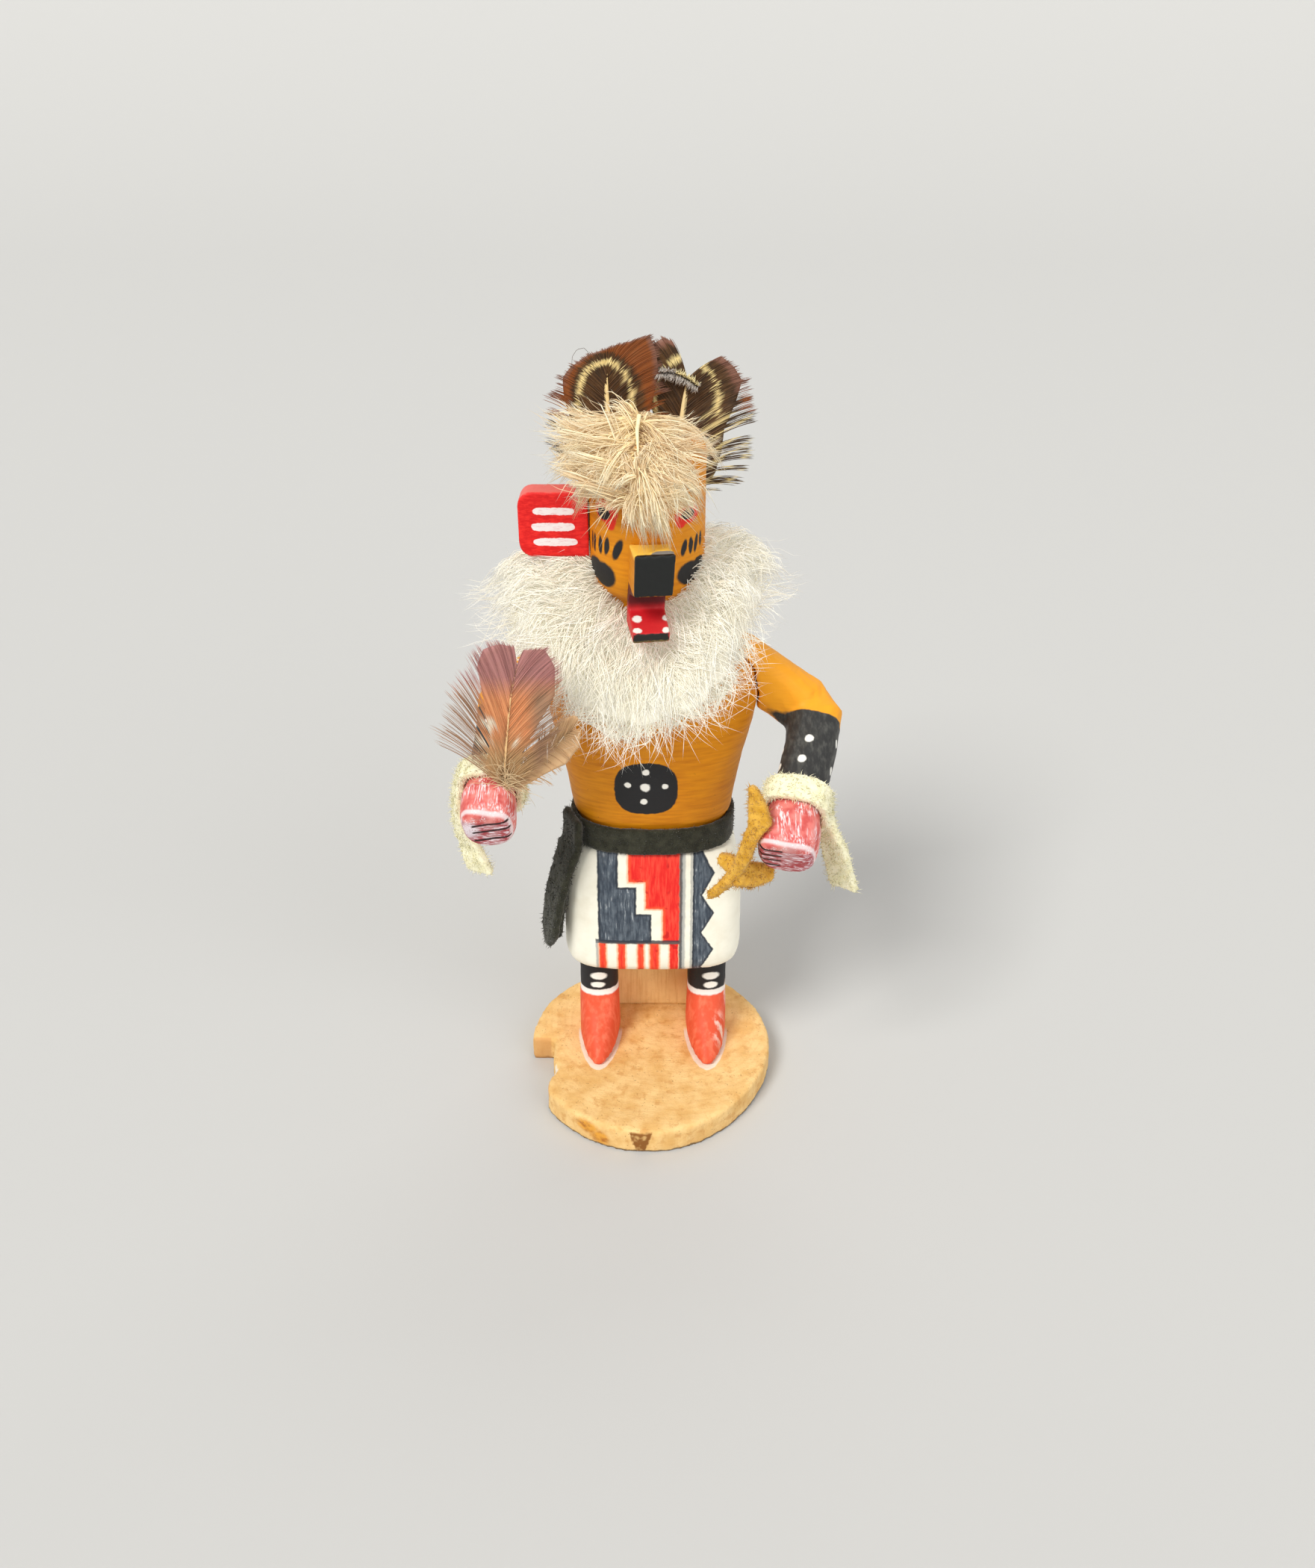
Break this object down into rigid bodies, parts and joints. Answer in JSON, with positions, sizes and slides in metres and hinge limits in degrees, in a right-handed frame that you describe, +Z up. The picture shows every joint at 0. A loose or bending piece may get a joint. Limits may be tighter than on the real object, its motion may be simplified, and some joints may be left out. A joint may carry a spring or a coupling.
{
  "type": "kachina doll",
  "caption": "Standing carved wooden doll with an animal head, fur ruff, feathers, painted kilt and boots, on a slice of a branch.",
  "frame": {"origin": "on the underside of the base, under the figure", "axes": "+Z is up and the figure faces -Y, so its own right side is at -X"},
  "size_m": [0.0921, 0.0656, 0.1818],
  "materials": {
    "raw_wood": "raw, sawn and lightly sanded",
    "ochre_paint": "matt paint on carved wood",
    "black_paint": "matt paint on carved wood",
    "red_paint": "matt paint on carved wood",
    "black_suede": "napped suede",
    "cream_suede": "napped suede",
    "tan_suede": "napped suede",
    "white_fur": "long soft fur",
    "pale_down": "soft down",
    "banded_feather": "feather with dark and cream bands",
    "russet_feather": "soft feather"
  },
  "bodies": {
    "root": {"base_slab": "raw_wood", "prop_block": "raw_wood", "carved_figure": "ochre_paint", "snout": "black_paint", "ear_board": "red_paint", "arm_left": "ochre_paint", "arm_right": "ochre_paint", "cuff_left": "cream_suede", "cuff_right": "cream_suede", "belt": "black_suede", "sash": "black_suede", "fur_ruff": "white_fur", "forehead_plume": "pale_down", "crown_feather_left": "banded_feather", "crown_feather_right": "banded_feather", "hand_feather_main": "russet_feather", "hand_feather_side": "russet_feather", "suede_branch": "tan_suede"}
  },
  "joints": []
}
